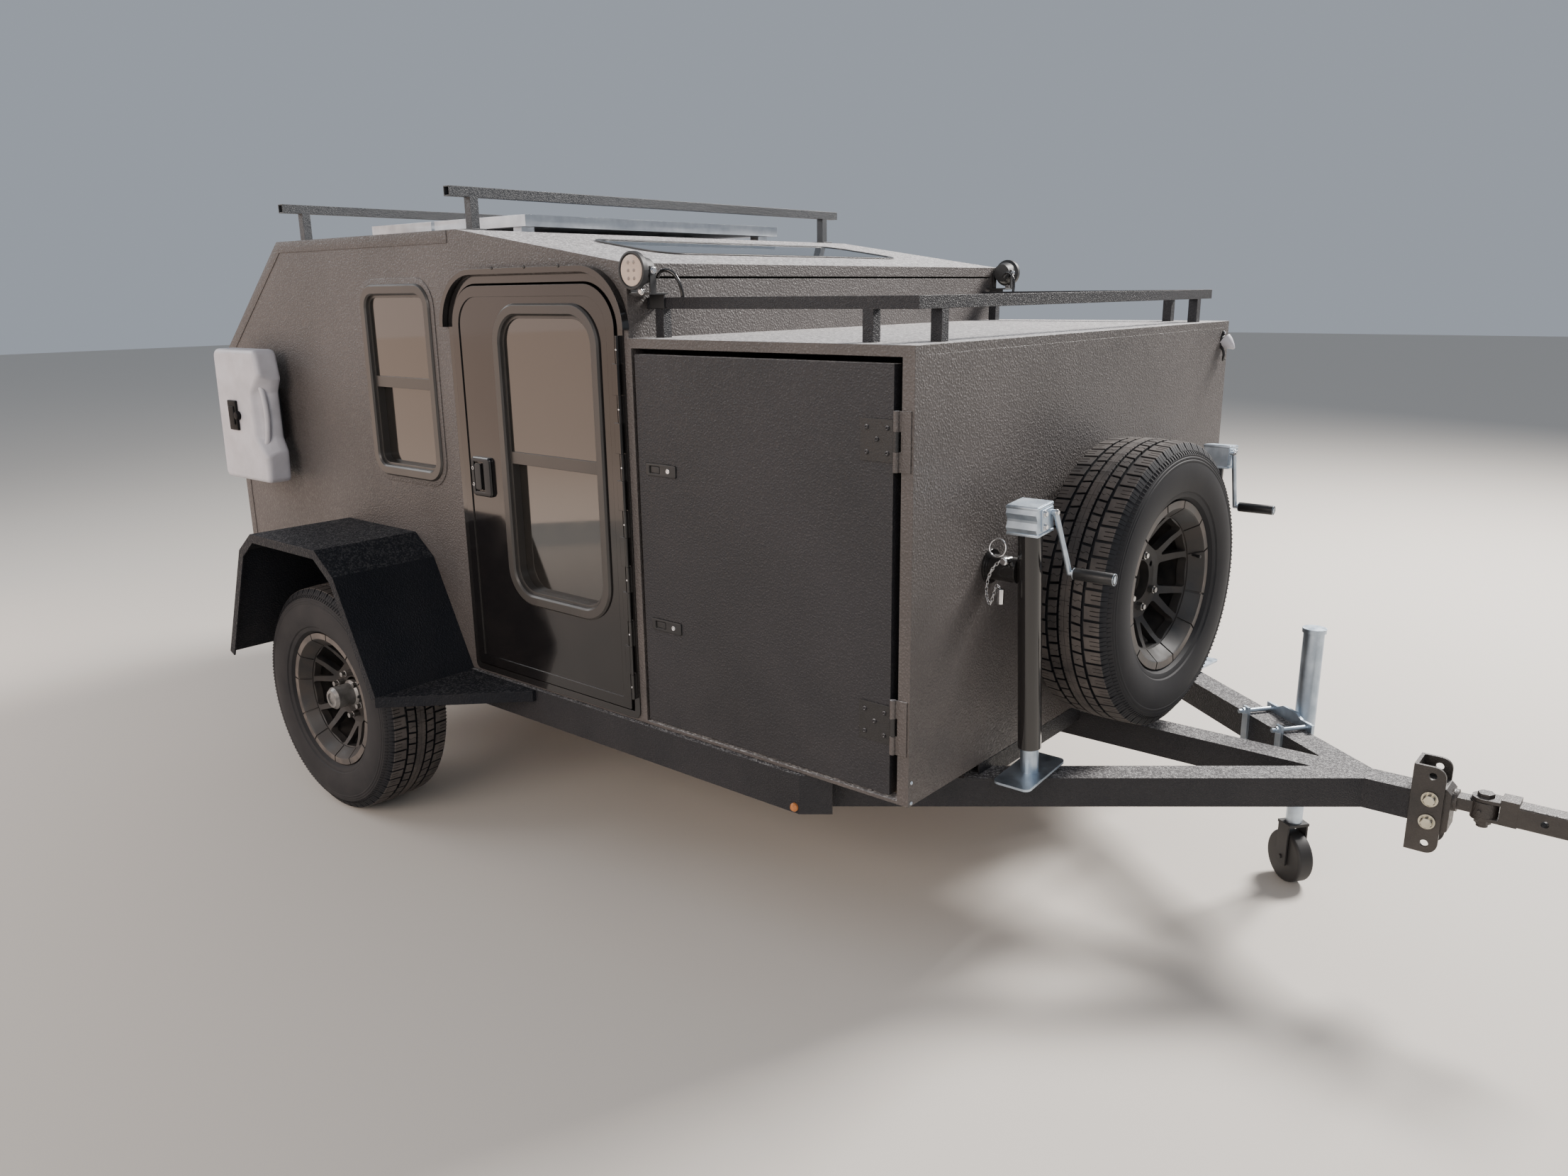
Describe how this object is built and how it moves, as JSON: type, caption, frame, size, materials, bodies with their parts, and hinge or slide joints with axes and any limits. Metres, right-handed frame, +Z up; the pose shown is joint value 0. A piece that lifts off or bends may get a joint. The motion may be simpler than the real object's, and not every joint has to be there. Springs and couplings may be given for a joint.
{
  "type": "teardrop trailer",
  "caption": "Squared teardrop camping trailer with side doors, front storage box, rear hatch, A-shaped tongue, swing-down jack, spare wheel and roof gear.",
  "frame": {"origin": "on the floor, under the middle of the whole length and width", "axes": "+X forward to the coupler, +Y to the trailer's left side, +Z up"},
  "size_m": [4.226, 2.524, 1.957],
  "materials": {
    "body_paint": "textured two-part coating on sheet, dark grey-brown",
    "frame_paint": "satin black powder coat on steel tube",
    "black_gloss": "gloss black door skin",
    "black_trim": "satin black extrusion and mouldings",
    "window_glass": "dark tinted glass",
    "tyre": "all-terrain tread rubber, lightly dusty",
    "rim_black": "gloss black cast wheel",
    "zinc": "bright zinc plating",
    "bare_steel": "dark machined and blacked steel",
    "stainless": "brushed stainless",
    "caster_black": "moulded black caster",
    "solar_cell": "dark solar cells under glass in an aluminium frame",
    "white_plastic": "white moulded container",
    "floor_board": "coated board",
    "lamp_red": "red lens",
    "lamp_amber": "amber lens"
  },
  "bodies": {
    "root": {"axle": "frame_paint", "box_front": "body_paint", "box_gallery": "frame_paint", "box_hinge_posts": "stainless", "box_top": "body_paint", "bulkhead": "body_paint", "chassis_frame": "frame_paint", "coupler_bracket": "frame_paint", "coupler_neck": "bare_steel", "door_frames": "black_trim", "floor": "floor_board", "fuel_pack": "white_plastic", "jack_mount": "zinc", "left_fender": "frame_paint", "left_side_wall": "body_paint", "marker_lamps": "lamp_amber", "pack_bracket": "black_trim", "rear_panel": "body_paint", "right_fender": "frame_paint", "right_side_wall": "body_paint", "roof": "body_paint", "roof_bars": "frame_paint", "side_glass": "window_glass", "side_windows": "black_trim", "skylight": "black_trim", "skylight_glass": "window_glass", "solar_panels": "solar_cell", "spare_mount": "frame_paint", "spare_tyre": "tyre", "spare_wheel": "rim_black", "stabilizer_cranks": "zinc", "stabilizer_jacks": "frame_paint", "tail_lamps": "lamp_red", "tongue_frame": "frame_paint", "work_lamps": "black_trim"},
    "right_road_wheel": {"right_hub": "bare_steel", "right_wheel": "rim_black", "right_tyre": "tyre"},
    "left_road_wheel": {"left_hub": "bare_steel", "left_wheel": "rim_black", "left_tyre": "tyre"},
    "right_entry_door": {"right_entry_door": "black_gloss", "right_door_window": "black_trim", "right_door_glass": "window_glass"},
    "left_entry_door": {"left_entry_door": "black_gloss", "left_door_window": "black_trim", "left_door_glass": "window_glass"},
    "right_box_door": {"right_box_door": "body_paint", "right_box_fittings": "stainless"},
    "left_box_door": {"left_box_door": "body_paint", "left_box_fittings": "stainless"},
    "rear_hatch": {"rear_hatch": "body_paint"},
    "tongue_jack": {"tongue_jack": "zinc"},
    "jack_leg": {"jack_leg": "zinc"},
    "jack_fork": {"jack_fork": "zinc"},
    "jack_wheel": {"jack_wheel": "caster_black"},
    "right_stabilizer_leg": {"right_stabilizer_leg": "zinc"},
    "left_stabilizer_leg": {"left_stabilizer_leg": "zinc"},
    "hitch_insert": {"hitch_insert": "bare_steel"}
  },
  "joints": [
    {"name": "right_wheel_spin", "type": "hinge", "parent": "root", "child": "right_road_wheel", "pos_m": [-1.169, -1.066, 0.376], "axis": [0, 1, 0], "continuous": true},
    {"name": "left_wheel_spin", "type": "hinge", "parent": "root", "child": "left_road_wheel", "pos_m": [-1.169, 1.066, 0.376], "axis": [0, 1, 0], "continuous": true},
    {"name": "right_entry_door_swing", "type": "hinge", "parent": "root", "child": "right_entry_door", "pos_m": [0.045, -0.9275, 1.117], "axis": [0, 0, 1], "range_deg": [0, 110]},
    {"name": "left_entry_door_swing", "type": "hinge", "parent": "root", "child": "left_entry_door", "pos_m": [0.045, 0.9275, 1.117], "axis": [0, 0, -1], "range_deg": [0, 110]},
    {"name": "right_box_door_swing", "type": "hinge", "parent": "root", "child": "right_box_door", "pos_m": [0.8915, -0.9195, 1.017], "axis": [0, 0, 1], "range_deg": [0, 110]},
    {"name": "left_box_door_swing", "type": "hinge", "parent": "root", "child": "left_box_door", "pos_m": [0.8915, 0.9195, 1.017], "axis": [0, 0, -1], "range_deg": [0, 110]},
    {"name": "rear_hatch_lift", "type": "hinge", "parent": "root", "child": "rear_hatch", "pos_m": [-1.652, 0, 1.844], "axis": [0, 1, 0], "range_deg": [0, 80]},
    {"name": "tongue_jack_fold", "type": "hinge", "parent": "root", "child": "tongue_jack", "pos_m": [1.449, 0.28607, 0.451], "axis": [0.6184, 0.7859, 0], "range_deg": [0, 90]},
    {"name": "tongue_jack_leg", "type": "slide", "parent": "tongue_jack", "child": "jack_leg", "axis": [0, 0, 1], "range_m": [0, 0.09]},
    {"name": "jack_caster_swivel", "type": "hinge", "parent": "jack_leg", "child": "jack_fork", "pos_m": [1.449, 0.28607, 0.175], "axis": [0, 0, 1], "continuous": true},
    {"name": "jack_caster_roll", "type": "hinge", "parent": "jack_fork", "child": "jack_wheel", "pos_m": [1.449, 0.28607, 0.075], "axis": [0.6184, 0.7859, 0], "continuous": true},
    {"name": "right_stabilizer_leg", "type": "slide", "parent": "root", "child": "right_stabilizer_leg", "axis": [0, -0.0819, 0.9966], "range_m": [0, 0.055]},
    {"name": "left_stabilizer_leg", "type": "slide", "parent": "root", "child": "left_stabilizer_leg", "axis": [0, 0.0819, 0.9966], "range_m": [0, 0.055]},
    {"name": "hitch_yaw", "type": "hinge", "parent": "root", "child": "hitch_insert", "pos_m": [1.931, 0, 0.4735], "axis": [0, 0, 1], "range_deg": [-40, 40]}
  ]
}
